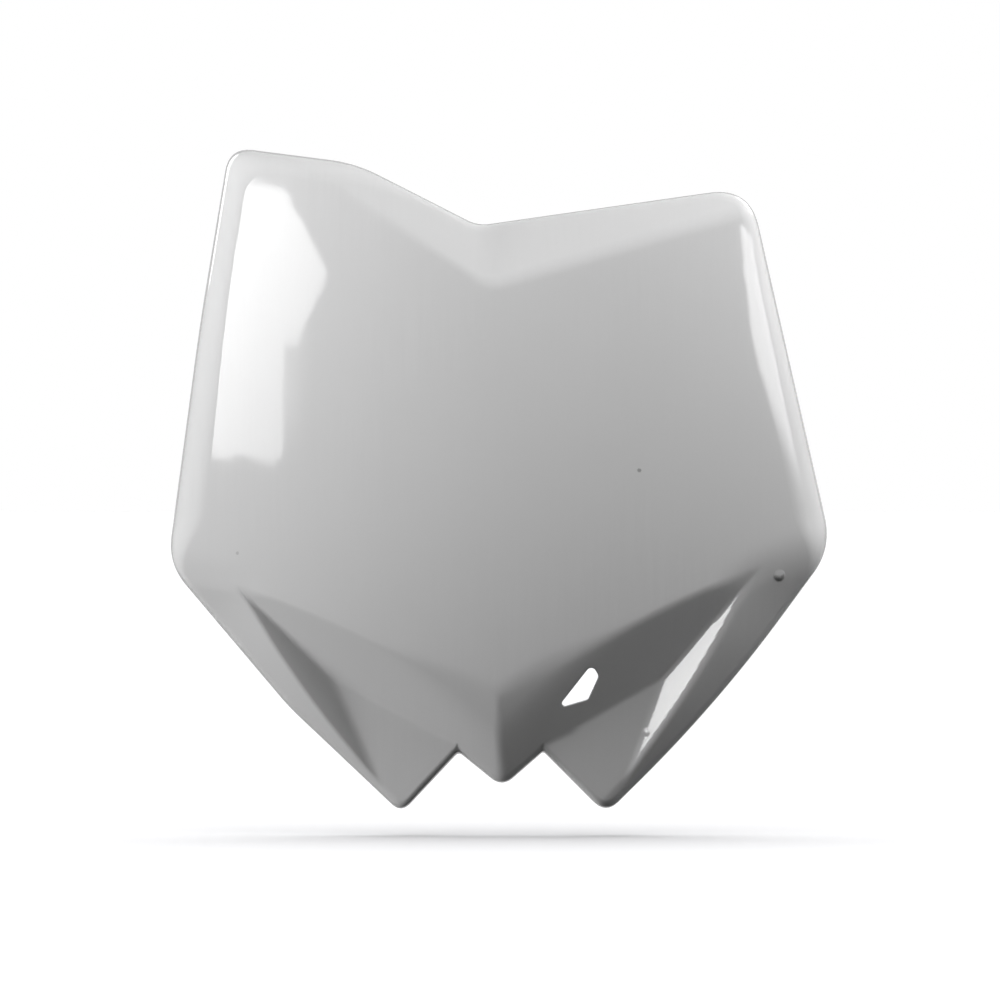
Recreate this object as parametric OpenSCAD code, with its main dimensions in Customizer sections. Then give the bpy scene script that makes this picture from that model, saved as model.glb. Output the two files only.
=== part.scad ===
// Front number board for an off-road racing motorbike.
// One thin-walled injection moulding, open at the back.
// X points to the right as the board is seen from the front, Y to the rear, Z up.
// The origin is the centre of the bolt hole in the lower tab.

/* [Outline] */

// width over the two side corners
plate_w = 263; // [235:1:290]
// height from the two lower tips to the top left corner
plate_h = 264; // [235:1:290]

/* [Shell] */

// wall thickness
wall = 2.2; // [1.8:0.1:2.8]
// radius of the rolled edge at the side corners
edge_r = 12.5; // [9:0.5:14]
// depth of the rim behind the front panel at the notch
rim_top = 28; // [26:1:36]
// how much deeper the rim lies at the side corners
rim_side = 10; // [6:1:16]
// how much deeper the rim lies at the lower tips
rim_low = 13; // [12:1:18]
// radius of the sideways bow of the front panel
bow_r = 440; // [380:10:520]

/* [Flutes] */

// depth of the pocket corners below the front panel
pocket_d = 26; // [23:0.5:27]
// depth of the middle tip below the front panel
keel_d = 25; // [23:0.5:27]
// slope of the wide bevel under the top edge
bevel_s = 0.58; // [0.4:0.02:0.66]

/* [Hose window] */

// width of the window from side to side
window_w = 16; // [12:0.5:17]

/* [Lower tab] */

// bolt hole diameter in the lower tab
tab_bore = 6.5; // [5.5:0.1:8.5]
// thickness of the lower tab
tab_t = 4; // [3:0.5:6]
// distance of the bolt hole behind the front panel
tab_y = 28; // [22:1:30]

/* [Upper ears] */

// pin hole diameter in the two upper ears
ear_bore = 6.2; // [5:0.1:7.4]
// thickness of each ear
ear_t = 4; // [3:0.5:6]
// distance between the two ears, centre to centre
ear_gap = 44; // [36:1:60]

/* [Hidden] */

// size factors against the measured outline
fx = plate_w / 263;
fz = plate_h / 264;
// lower tab height above the lower tips, and the ears' height
tab_z = 70;
ear_z = 188;
ear_y = 25;

// outline corners [x, z] with the lower tips near z = 0
TL = [-108.7, 265.3];
BD = [-58, 258.6];
NT = [-8.9, 233.5];
TR = [100.2, 249.2];
SR = [133.4, 104.3];
R2 = [86.5, 40.3];
RT = [42.6, -2.8];
RV = [17.4, 22.5];
CT = [0.9, 8.1];
LV = [-16.6, 22.3];
LT = [-39.7, -2.4];
L2 = [-84.8, 40.3];
SL = [-133.5, 98.1];
LM = [-120.4, 194.9];
// the point that the outline is seen round
C0 = [0, 120];

// smooth minimum and maximum
function smin(a, b, k) = min(a, b) - pow(max(k - abs(a - b), 0), 2) / (4 * k);
function smax(a, b, k) = max(a, b) + pow(max(k - abs(a - b), 0), 2) / (4 * k);
function step01(a, b, v) = let (t = min(1, max(0, (v - a) / (b - a)))) t * t * (3 - 2 * t);
// distance inside the line from p to q
function side(p, q, x, z) = ((x - p[0]) * (q[1] - p[1]) - (z - p[1]) * (q[0] - p[0])) / norm(q - p);

// distance inside the rounded outline
function inside(x, z) = let (
    left = smin(side(LM, TL, x, z), side(SL, LM, x, z), 0.5),
    lowl = smin(side(L2, SL, x, z), side(LT, L2, x, z), 0.7),
    lowr = smin(side(SR, R2, x, z), side(R2, RT, x, z), 7.2),
    hump = smin(side(BD, NT, x, z), smin(side(TL, BD, x, z), left, 9.7), 3.4),
    right = side(TR, SR, x, z),
    top = smax(hump, smin(side(NT, TR, x, z), right, 16.3), 2.8),
    keel = smin(side(RV, CT, x, z), side(CT, LV, x, z), 5.7),
    low = smax(smax(keel, side(RT, RV, x, z), 1.1), side(LV, LT, x, z), 1.9))
    min(min(top, smin(lowr, right, 9.6)), min(smin(lowl, left, 8.3), min(smin(low, lowr, 7.1), smin(low, lowl, 5.4))));

// plane through three points [x, z, depth] as [slope in x, slope in z, constant]
function plane(a, b, c) = let (u = b - a, v = c - a, n = u[0] * v[1] - u[1] * v[0],
    gx = (u[2] * v[1] - v[2] * u[1]) / n, gz = (u[0] * v[2] - v[0] * u[2]) / n)
    [gx, gz, a[2] - gx * a[0] - gz * a[1]];
function at(p, x, z) = p[0] * x + p[1] * z + p[2];

// panel: bowed sideways, and falling away a little above and below its middle
function panel(x, z) = x * x / (2 * bow_r) + 0.0003 * pow(z - 150, 2) + 0.0004 * pow(max(0, 120 - z), 2);
function on(x, z) = [x, z, panel(x, z)];

// right flute: panel corner, keel corner, pocket corner and tip; then keel top and middle tip
S_R = on(102.8, 95.6);
Q_R = on(39.2, 65.6);
T_R = [64.8, 52, pocket_d];
B_R = [43.2, 0.4, pocket_d + 4];
P_0 = on(-1.2, 46.4);
P_1 = [1.2, 10.4, keel_d - 6.5];
A_R = plane(S_R, Q_R, T_R);
D_R = plane(S_R, T_R, [80, 54.8, pocket_d - 6]);
C_R = plane(T_R, B_R, [18, 23.6, pocket_d - 2.6]);
K_R = plane(P_0, P_1, Q_R);
W_R = [44.8, 4.5, pocket_d + 4.6];
// left flute
S_L = on(-105.2, 89.2);
Q_L = on(-41.2, 61.6);
T_L = [-66.8, 51.2, pocket_d];
B_L = [-39.2, 0.4, pocket_d + 4];
A_L = plane(S_L, Q_L, T_L);
D_L = plane(S_L, T_L, [-82, 50, pocket_d - 6]);
C_L = plane(T_L, B_L, [-17.2, 23.6, pocket_d - 2.6]);
K_L = plane(P_0, P_1, Q_L);
W_L = [-41.5, 3.5, pocket_d + 4.6];

// keel side: shallow under the panel and steeper towards the middle tip
function keel(k, q, x, z) = let (v = [q[0] - P_0[0], q[1] - P_0[1]],
    s = max(0, sign(v[0]) * ((x - P_0[0]) * v[1] - (z - P_0[1]) * v[0]) / norm(v)))
    at(k, x, z) + 0.006 * s * s;
// outer band from the panel corner s to the tip e, steeper towards the tip, its ridge a little bowed
function band(s, e, x, z) = let (v = [e[0] - s[0], e[1] - s[1]], n = norm(v),
    w = (v[0] * (x - s[0]) + v[1] * (z - s[1])) / (n * n), c = min(1, max(0, w)),
    t = sign(s[0]) * (v[0] * (z - s[1]) - v[1] * (x - s[0])) / n)
    s[2] + (e[2] - s[2]) * w + (0.62 + 0.42 * w) * (t - 42 * pow(c * (1 - c), 2)) - 0.9 * step01(0, 0.3, w);

// wide bevel: distance above its lower crease, left and right of the notch
function over_l(x, z) = 0.555 * (x + 5) + 0.832 * (z - 208.6);
function over_r(x, z) = -0.284 * (x + 5) + 0.959 * (z - 208.3);

// depth of the outer face behind the front-most point, without the rolled edge
function face(x, z) = let (
    cr = at(C_R, x, z) + 0.6 * max(0, 18 - x),
    cl = at(C_L, x, z) + 0.6 * max(0, 18 + x),
    fr = smin(smin(smax(keel(K_R, Q_R, x, z), at(A_R, x, z), 2), cr, 0.7), at(D_R, x, z), 0.8),
    fl = smin(smin(smax(keel(K_L, Q_L, x, z), at(A_L, x, z), 2), cl, 0.7), at(D_L, x, z), 1),
    ridge = 0.5 + 0.075 * min(30, max(0, 40 - z)),
    right = step01(-20, 20, x),
    outer = 1.1 + (0.1 + 1.5 * right) * step01(70, 40, z) + 3.2 * step01(82, 95, z),
    low = smax(smax(panel(x, z), smax(fl, fr, ridge), 0.8 + 0.5 * right), smax(band(S_L, W_L, x, z), band(S_R, W_R, x, z), 1), outer),
    bev = bevel_s * smin(1.15 * over_l(x, z), over_r(x, z), 5))
    low + smax(bev, 0, 1.4 + 0.6 * right);

// radius of the rolled edge: wide down the sides and over the left hump, small elsewhere
function roll_r(x, z) = let (wide = edge_r - 0.022 * min(150, max(0, z - 104)))
    2.6 + (wide - 2.6) * step01(92, 118, z) * (1 - step01(-78, -30, x) * (1 - step01(96, 110, x)));

// depth of the rim
function rim(x, z) = rim_top + rim_side * pow(x / 133, 2) + rim_low * step01(115, 0, z);
// how far the skirt flares out from its front edge to the rim
function flare(x, z) = 0.045 * (rim(x, z) - face(x, z));

// far crossing of the outline along a direction, by halving
function cross_at(dx, dz, lo, hi, n) = n == 0 ? (lo + hi) / 2 :
    let (m = (lo + hi) / 2) inside(C0[0] + m * dx, C0[1] + m * dz) > 0 ?
        cross_at(dx, dz, m, hi, n - 1) : cross_at(dx, dz, lo, m, n - 1);

// rays: closer together over the flutes and at the corners
rays = 150;
function ray_a(i) = let (t = 360 * i / rays) t - 90 - 3 * sin(5 * t) - 12 * sin(t);
// rows across the outer face, as shares of the way to the rolled edge
cols = [0.2, 0.4, 0.48, 0.55, 0.61, 0.67, 0.72, 0.77, 0.82, 0.865, 0.905, 0.94, 0.972];
// and across the inner face
back_cols = [0.2, 0.42, 0.55, 0.66, 0.75, 0.83, 0.9, 0.96];
rolls = [0, 24, 46, 66];

module number_plate() {
    dirs = [for (i = [0:rays - 1]) [cos(ray_a(i)), sin(ray_a(i))]];
    far = [for (d = dirs) cross_at(d[0], d[1], 40, 220, 26)];
    // how steeply each ray meets the outline
    lean = [for (i = [0:rays - 1]) let (r = far[i], d = dirs[i],
        g = inside(C0[0] + (r - 0.5) * d[0], C0[1] + (r - 0.5) * d[1]) / 0.5) max(0.45, min(1, g))];
    function px(i, r) = C0[0] + r * dirs[i][0];
    function pz(i, r) = C0[1] + r * dirs[i][1];
    function back(i, r) = let (x = px(i, r), z = pz(i, r), f = face(x, z),
        gx = (face(x + 0.2, z) - f) / 0.2, gz = (face(x, z + 0.2) - f) / 0.2)
        f + wall * sqrt(1 + gx * gx + gz * gz);
    edge = [for (i = [0:rays - 1]) let (x = px(i, far[i]), z = pz(i, far[i])) [roll_r(x, z), flare(x, z), rim(x, z)]];
    function inner_r(i) = max(edge[i][0] - wall, 0.8);
    front_rows = [
        for (c = cols) [for (i = [0:rays - 1]) let (r = c * (far[i] - (edge[i][1] + edge[i][0]) / lean[i]))
            [px(i, r), face(px(i, r), pz(i, r)), pz(i, r)]],
        for (a = rolls) [for (i = [0:rays - 1]) let (e = edge[i], t = e[0] * (1 - sin(a)), r = far[i] - (e[1] + t) / lean[i])
            [px(i, r), face(px(i, r), pz(i, r)) + e[0] * (1 - cos(a)), pz(i, r)]],
        [for (i = [0:rays - 1]) let (e = edge[i], r = far[i] - e[1] / lean[i])
            [px(i, r), face(px(i, r), pz(i, r)) + e[0], pz(i, r)]],
        [for (i = [0:rays - 1]) [px(i, far[i]), edge[i][2], pz(i, far[i])]]];
    back_rows = [
        [for (i = [0:rays - 1]) let (r = far[i] - wall / lean[i]) [px(i, r), edge[i][2], pz(i, r)]],
        for (a = [90, 55, 25, 0]) [for (i = [0:rays - 1]) let (e = edge[i], q = inner_r(i), t = q * (1 - sin(a)),
            r = far[i] - (e[1] + wall + t) / lean[i])
            [px(i, r), min(back(i, r) + q * (1 - cos(a)), e[2] - 0.8), pz(i, r)]],
        for (k = [len(back_cols) - 1:-1:0]) [for (i = [0:rays - 1]) let (e = edge[i],
            r = back_cols[k] * (far[i] - (e[1] + wall + inner_r(i)) / lean[i])) [px(i, r), back(i, r), pz(i, r)]]];
    rows = concat(front_rows, back_rows);
    n = len(rows);
    pts = concat([[C0[0], face(C0[0], C0[1]), C0[1]]], [for (row = rows) for (p = row) p],
        [[C0[0], face(C0[0], C0[1]) + wall, C0[1]]]);
    last = len(pts) - 1;
    function id(k, i) = 1 + k * rays + (i % rays);
    faces = concat(
        [for (i = [0:rays - 1]) [0, id(0, i + 1), id(0, i)]],
        [for (k = [0:n - 2]) for (i = [0:rays - 1]) each [
            [id(k, i), id(k + 1, i + 1), id(k + 1, i)],
            [id(k, i), id(k, i + 1), id(k + 1, i + 1)]]],
        [for (i = [0:rays - 1]) [id(n - 1, i), id(n - 1, i + 1), last]]);

    color([0.86, 0.86, 0.86])
    translate([0, -tab_y, -tab_z * fz])
    difference() {
        union() {
            scale([fx, 1, fz]) polyhedron(points = pts, faces = faces, convexity = 6);
            lower_tab();
            for (s = [-1, 1]) upper_ear(s * ear_gap / 2);
        }
        hose_window();
        translate([0, tab_y, tab_z * fz - 12]) cylinder(h = 24, d = tab_bore, $fn = 64);
        for (s = [-1, 1]) translate([s * ear_gap / 2 - 8, ear_y, ear_z * fz]) rotate([0, 90, 0])
            cylinder(h = 16, d = ear_bore, $fn = 64);
    }
}

// flat tab with a round end and two ribs above it
module lower_tab() {
    y0 = panel(8, tab_z) + wall / 2;
    y1 = panel(8, tab_z + 22) + wall / 2;
    translate([0, 0, tab_z * fz - tab_t / 2]) {
        translate([-11, y0, 0]) cube([22, tab_y - y0, tab_t]);
        translate([0, tab_y, 0]) cylinder(h = tab_t, r = 11, $fn = 96);
    }
    for (x = [-9.4, 7]) translate([x, 0, tab_z * fz]) rotate([90, 0, 90])
        linear_extrude(height = 2.4) polygon([[y0, 0], [tab_y - 9, 0], [tab_y - 9, tab_t / 2 + 1], [y1 + 2, 22], [y1, 22]]);
}

// ear with a round end, standing off the back of the panel
module upper_ear(x) {
    y0 = panel(abs(x), ear_z) + wall / 2;
    translate([x - ear_t / 2, 0, ear_z * fz]) {
        translate([0, y0, -9]) cube([ear_t, ear_y - y0, 18]);
        translate([0, ear_y, 0]) rotate([0, 90, 0]) cylinder(h = ear_t, r = 9, $fn = 96);
    }
    // rib that braces the ear sideways
    s = x > 0 ? 1 : -1;
    translate([x, 0, ear_z * fz - 1.2]) linear_extrude(height = 2.4)
        polygon([[0, y0], [s * 12, y0 + 0.6], [s * 12, y0 + 1.6], [s * 3, 15], [0, 15]]);
}

// window for the brake hose through the right flute, with rounded corners
module hose_window() {
    c = [[36.6, 58.2], [39.4, 53.4], [35.2, 44], [22.8, 40.4]];
    m = [33.5, 49];
    f = window_w / 16;
    translate([0, -5, 0]) rotate([-90, 0, 0]) mirror([0, 1, 0]) linear_extrude(height = 60)
        offset(r = 1.6, $fn = 32) offset(delta = -1.6)
        polygon([for (p = c) [(m[0] + f * (p[0] - m[0])) * fx, (m[1] + f * (p[1] - m[1])) * fz]]);
}

number_plate();
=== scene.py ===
import math

import bmesh
import bpy
import numpy as np
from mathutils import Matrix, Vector
from mathutils.geometry import delaunay_2d_cdt
from mathutils.kdtree import KDTree


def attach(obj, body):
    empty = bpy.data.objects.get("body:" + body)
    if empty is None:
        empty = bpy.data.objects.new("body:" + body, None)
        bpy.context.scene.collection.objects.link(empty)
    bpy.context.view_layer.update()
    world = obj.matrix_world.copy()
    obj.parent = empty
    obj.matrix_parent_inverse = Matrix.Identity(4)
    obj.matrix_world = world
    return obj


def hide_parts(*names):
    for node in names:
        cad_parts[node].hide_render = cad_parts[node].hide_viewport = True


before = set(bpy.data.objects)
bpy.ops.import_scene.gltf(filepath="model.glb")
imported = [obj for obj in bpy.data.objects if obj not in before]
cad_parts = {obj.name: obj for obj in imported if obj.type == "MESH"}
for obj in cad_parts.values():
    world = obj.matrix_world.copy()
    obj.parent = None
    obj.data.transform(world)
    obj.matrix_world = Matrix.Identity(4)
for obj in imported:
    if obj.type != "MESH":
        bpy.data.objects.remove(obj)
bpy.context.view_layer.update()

# The outer skin is a depth field over the front view. It is worked out in
# millimetres: x to the right, z up from the lower tips, depth to the rear.
# The row frame has its origin at the lower bolt hole.
TAB_Y, TAB_Z = 28.0, 70.0
EAR_Y, EAR_Z, EAR_X = 25.0, 188.0, 22.0
WALL = 2.2
C0 = (0.0, 120.0)


def to_row(p):
    """Design millimetres (x, depth, z) to the row frame in metres."""
    p = np.asarray(p, float)
    return (p - np.array([0, TAB_Y, TAB_Z])) / 1000


# ---------------------------------------------------------------- outline

TL, BD, NT, TR = (-108.7, 265.3), (-58, 258.6), (-8.9, 233.5), (100.2, 249.2)
SR, R2, RT = (133.4, 104.3), (86.5, 40.3), (42.6, -2.8)
RV, CT, LV = (17.4, 22.5), (0.9, 8.1), (-16.6, 22.3)
LT, L2, SL, LM = (-39.7, -2.4), (-84.8, 40.3), (-133.5, 98.1), (-120.4, 194.9)


def smin(a, b, k):
    return np.minimum(a, b) - np.maximum(k - np.abs(a - b), 0) ** 2 / (4 * k)


def smax(a, b, k):
    return np.maximum(a, b) + np.maximum(k - np.abs(a - b), 0) ** 2 / (4 * k)


def step01(a, b, v):
    t = np.clip((v - a) / (b - a), 0, 1)
    return t * t * (3 - 2 * t)


def side(p, q, x, z):
    return ((x - p[0]) * (q[1] - p[1]) - (z - p[1]) * (q[0] - p[0])) / math.hypot(q[0] - p[0], q[1] - p[1])


def inside(x, z):
    """Distance inside the rounded outline."""
    left = smin(side(LM, TL, x, z), side(SL, LM, x, z), 0.5)
    lowl = smin(side(L2, SL, x, z), side(LT, L2, x, z), 0.7)
    lowr = smin(side(SR, R2, x, z), side(R2, RT, x, z), 7.2)
    hump = smin(side(BD, NT, x, z), smin(side(TL, BD, x, z), left, 9.7), 3.4)
    right = side(TR, SR, x, z)
    top = smax(hump, smin(side(NT, TR, x, z), right, 16.3), 2.8)
    keel = smin(side(RV, CT, x, z), side(CT, LV, x, z), 5.7)
    low = smax(smax(keel, side(RT, RV, x, z), 1.1), side(LV, LT, x, z), 1.9)
    return np.minimum(
        np.minimum(top, smin(lowr, right, 9.6)),
        np.minimum(smin(lowl, left, 8.3), np.minimum(smin(low, lowr, 7.1), smin(low, lowl, 5.4))),
    )


# ---------------------------------------------------------------- depth field

PD, KD = 26.0, 25.0


def plane(a, b, c):
    u = [b[i] - a[i] for i in range(3)]
    v = [c[i] - a[i] for i in range(3)]
    n = u[0] * v[1] - u[1] * v[0]
    gx = (u[2] * v[1] - v[2] * u[1]) / n
    gz = (u[0] * v[2] - v[0] * u[2]) / n
    return gx, gz, a[2] - gx * a[0] - gz * a[1]


def at(p, x, z):
    return p[0] * x + p[1] * z + p[2]


def panel(x, z):
    return x * x / (2 * 440) + 0.0003 * (z - 150) ** 2 + 0.0004 * np.maximum(0, 120 - z) ** 2


def on(x, z):
    return x, z, float(panel(x, z))


S_R, Q_R, T_R, B_R = on(102.8, 95.6), on(39.2, 65.6), (64.8, 52, PD), (43.2, 0.4, PD + 4)
S_L, Q_L, T_L, B_L = on(-105.2, 89.2), on(-41.2, 61.6), (-66.8, 51.2, PD), (-39.2, 0.4, PD + 4)
P_0, P_1 = on(-1.2, 46.4), (1.2, 10.4, KD - 6.5)
A_R, A_L = plane(S_R, Q_R, T_R), plane(S_L, Q_L, T_L)
D_R, D_L = plane(S_R, T_R, (80, 54.8, PD - 6)), plane(S_L, T_L, (-82, 50, PD - 6))
C_R, C_L = plane(T_R, B_R, (18, 23.6, PD - 2.6)), plane(T_L, B_L, (-17.2, 23.6, PD - 2.6))
K_R, K_L = plane(P_0, P_1, Q_R), plane(P_0, P_1, Q_L)
W_R, W_L = (44.8, 4.5, PD + 4.6), (-41.5, 3.5, PD + 4.6)


def keel_side(k, q, x, z):
    vx, vz = q[0] - P_0[0], q[1] - P_0[1]
    s = np.maximum(0, math.copysign(1, vx) * ((x - P_0[0]) * vz - (z - P_0[1]) * vx) / math.hypot(vx, vz))
    return at(k, x, z) + 0.006 * s * s


def band(s, e, x, z):
    vx, vz = e[0] - s[0], e[1] - s[1]
    n = math.hypot(vx, vz)
    w = (vx * (x - s[0]) + vz * (z - s[1])) / (n * n)
    c = np.clip(w, 0, 1)
    t = math.copysign(1, s[0]) * (vx * (z - s[1]) - vz * (x - s[0])) / n
    return s[2] + (e[2] - s[2]) * w + (0.62 + 0.42 * w) * (t - 42 * (c * (1 - c)) ** 2) - 0.9 * step01(0, 0.3, w)


def face(x, z):
    """Depth of the outer face, without the rolled edge."""
    cr = at(C_R, x, z) + 0.6 * np.maximum(0, 18 - x)
    cl = at(C_L, x, z) + 0.6 * np.maximum(0, 18 + x)
    fr = smin(smin(smax(keel_side(K_R, Q_R, x, z), at(A_R, x, z), 2), cr, 0.7), at(D_R, x, z), 0.8)
    fl = smin(smin(smax(keel_side(K_L, Q_L, x, z), at(A_L, x, z), 2), cl, 0.7), at(D_L, x, z), 1)
    # the middle ridge is sharp at its top and rounder at the tip; the outer ridges are sharpest just below the panel's corners
    ridge = 0.5 + 0.075 * np.clip(40 - z, 0, 30)
    right = step01(-20, 20, x)
    outer = 1.15 + right + (3.15 - right) * step01(82, 95, z)
    low = smax(smax(panel(x, z), smax(fl, fr, ridge), 0.8 + 0.5 * right), smax(band(S_L, W_L, x, z), band(S_R, W_R, x, z), 1), outer)
    over_l = 0.555 * (x + 5) + 0.832 * (z - 208.6)
    over_r = -0.284 * (x + 5) + 0.959 * (z - 208.3)
    return low + smax(0.58 * smin(1.15 * over_l, over_r, 5), 0, 1.4 + 0.6 * right)


# small pip on the right shoulder: flush at its top, proud at its lower side
PIP = (111.6, 93.6, 2.4, 0.6)
# tiny nub on the crease of the right flute
NUB = (58.4, 30.6, 1.7, 0.12)


def front(x, z):
    """The outer face with the moulded pip on it."""
    d = np.hypot(x - PIP[0], z - PIP[1]) / PIP[2]
    pip = PIP[3] * smax(1 - d ** 4, 0, 0.1) * np.clip((1 - (z - PIP[1]) / PIP[2]) / 2, 0, 1)
    nub = NUB[3] * smax(1 - ((x - NUB[0]) ** 2 + (z - NUB[1]) ** 2) / NUB[2] ** 2, 0, 0.1)
    return face(x, z) - pip - nub


def slope(f, x, z, h=0.05):
    return (f(x + h, z) - f(x - h, z)) / (2 * h), (f(x, z + h) - f(x, z - h)) / (2 * h)


def back(x, z):
    """Depth of the inner face: one wall thickness behind the outer face."""
    gx, gz = slope(face, x, z, 1.4)
    return face(x, z) + WALL * np.sqrt(1 + gx * gx + gz * gz)


def roll_r(x, z):
    """Radius of the rolled edge."""
    wide = 12.5 - 0.022 * np.clip(z - 104, 0, 150)
    return 2.6 + (wide - 2.6) * step01(92, 118, z) * (1 - step01(-78, -30, x) * (1 - step01(96, 110, x)))


def rim(x, z):
    return 28 + 10 * (x / 133) ** 2 + 13 * step01(115, 0, z)


# ---------------------------------------------------------------- mesh store


class Store:
    """Points with normals, and faces, gathered before they become a mesh."""

    def __init__(self):
        self.co, self.no, self.rear, self.faces, self.n = [], [], [], [], 0

    def add(self, co, no, rear=0.0):
        """Adds points; rear is 0 on the polished outer faces and 1 on the satin inner ones."""
        co, no = np.atleast_2d(np.asarray(co, float)), np.atleast_2d(np.asarray(no, float))
        first = self.n
        self.co.append(co)
        self.no.append(no)
        self.rear.append(np.full(len(co), float(rear)))
        self.n += len(co)
        return np.arange(first, self.n)

    def quads(self, a, b, closed=True):
        """Joins two rows of point numbers."""
        m = len(a) if closed else len(a) - 1
        for i in range(m):
            j = (i + 1) % len(a)
            self.faces.append((a[i], a[j], b[j], b[i]))


def unit(v):
    return v / np.maximum(np.linalg.norm(v, axis=-1, keepdims=True), 1e-12)


def field_points(f, xz, sign):
    """Points and normals on a depth field; sign -1 faces the front."""
    x, z = xz[:, 0], xz[:, 1]
    gx, gz = slope(f, x, z)
    return np.column_stack([x, f(x, z), z]), unit(np.column_stack([gx, -np.ones_like(gx), gz]) * -sign)


def in_loop(poly, pts):
    """Which points lie in a closed polygon."""
    hit = np.zeros(len(pts), bool)
    x, z = pts[:, 0], pts[:, 1]
    for (x1, z1), (x2, z2) in zip(poly, np.roll(poly, -1, 0)):
        cut = (z1 > z) != (z2 > z)
        with np.errstate(divide="ignore", invalid="ignore"):
            hit ^= cut & (x < (x2 - x1) * (z - z1) / (z2 - z1) + x1)
    return hit


def loop_distance(poly, pts):
    a, b = np.asarray(poly), np.roll(poly, -1, 0)
    best = np.full(len(pts), 1e9)
    for p, q in zip(a, b):
        v = q - p
        t = np.clip(((pts - p) @ v) / max(v @ v, 1e-12), 0, 1)
        best = np.minimum(best, np.linalg.norm(pts - p - t[:, None] * v, axis=1))
    return best


def fill(store, f, sign, border, inner, hole=None):
    """Triangulates between a border loop and an optional hole loop, through inner points.
    border and hole are (point numbers, xz); inner is xz. Faces look to the front for sign -1."""
    xz = [border[1]] + ([hole[1]] if hole else [])
    ids = [border[0]] + ([hole[0]] if hole else [])
    if len(inner):
        co, no = field_points(f, inner, sign)
        xz.append(inner)
        ids.append(store.add(co, no, sign > 0))
    pts, ids = np.vstack(xz), np.concatenate(ids)
    nb = len(border[1])
    edges = [(i, (i + 1) % nb) for i in range(nb)]
    if hole:
        nh = len(hole[1])
        edges += [(nb + i, nb + (i + 1) % nh) for i in range(nh)]
    out = delaunay_2d_cdt([Vector(p) for p in pts], edges, [], 0, 1e-7)
    vs, tris, orig = out[0], out[2], out[3]
    vs = np.array([v[:] for v in vs])
    mid = np.array([vs[list(t)].mean(0) for t in tris])
    keep = in_loop(border[1], mid)
    if hole:
        keep &= ~in_loop(hole[1], mid)
    for t, k in zip(tris, keep):
        if k:
            a, b, c = (orig[v][0] for v in t)
            p = pts[[a, b, c]]
            area = (p[1, 0] - p[0, 0]) * (p[2, 1] - p[0, 1]) - (p[1, 1] - p[0, 1]) * (p[2, 0] - p[0, 0])
            if abs(area) < 1e-6:  # three points in line on the border
                continue
            if (area > 0) != (sign < 0):
                b, c = c, b
            store.faces.append((ids[a], ids[b], ids[c]))


def ring_normals(rows):
    """Normals of a closed tube of rows, from its own points."""
    p = np.array(rows)
    along = np.roll(p, -1, 1) - np.roll(p, 1, 1)
    across = np.empty_like(p)
    across[1:-1] = p[2:] - p[:-2]
    across[0], across[-1] = p[1] - p[0], p[-1] - p[-2]
    return unit(np.cross(across, along))


def spread(lo, hi, z0, z1, step):
    """Hexagonal points over a box."""
    pts = []
    for k, z in enumerate(np.arange(z0, z1, step * 0.866)):
        for x in np.arange(lo + (step / 2 if k % 2 else 0), hi, step):
            pts.append((x, z))
    return np.array(pts)


# ---------------------------------------------------------------- the shell

N = 600
t = 360 * np.arange(N) / N
ang = np.radians(t - 90 - 3 * np.sin(np.radians(5 * t)) - 12 * np.sin(np.radians(t)))
DIR = np.column_stack([np.cos(ang), np.sin(ang)])
lo, hi = np.full(N, 40.0), np.full(N, 220.0)
for _ in range(34):
    m = (lo + hi) / 2
    isin = inside(C0[0] + m * DIR[:, 0], C0[1] + m * DIR[:, 1]) > 0
    lo, hi = np.where(isin, m, lo), np.where(isin, hi, m)
FAR = (lo + hi) / 2


def polar(r):
    return np.column_stack([C0[0] + r * DIR[:, 0], C0[1] + r * DIR[:, 1]])


near = polar(FAR - 0.5)
LEAN = np.clip(inside(near[:, 0], near[:, 1]) / 0.5, 0.45, 1)
rimline = polar(FAR)
ROLL = roll_r(rimline[:, 0], rimline[:, 1])
RIM = rim(rimline[:, 0], rimline[:, 1])
FLARE = 0.045 * (RIM - face(rimline[:, 0], rimline[:, 1]))
INNER = np.maximum(ROLL - WALL, 0.8)


def rows_on(f, start, shares):
    """Rows of xz across a face, from shares of the way to the rolled edge."""
    return [polar(c * start) for c in shares]


def as3(xz, depth):
    return np.column_stack([xz[:, 0], depth, xz[:, 1]])


front_end = FAR - (FLARE + ROLL) / LEAN
back_end = FAR - (FLARE + WALL + INNER) / LEAN
C_IN = 0.43
front_shares = np.concatenate([np.linspace(C_IN, 0.9, 50), np.linspace(0.9, 1, 17)[1:]])
back_shares = np.concatenate([np.linspace(C_IN, 0.9, 26), np.linspace(0.9, 1, 8)[1:]])

shell = Store()

# outer face rows
front_xz = rows_on(front, front_end, front_shares)
front_ids = []
for xz in front_xz:
    co, no = field_points(front, xz, -1)
    front_ids.append(shell.add(co, no))

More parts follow.
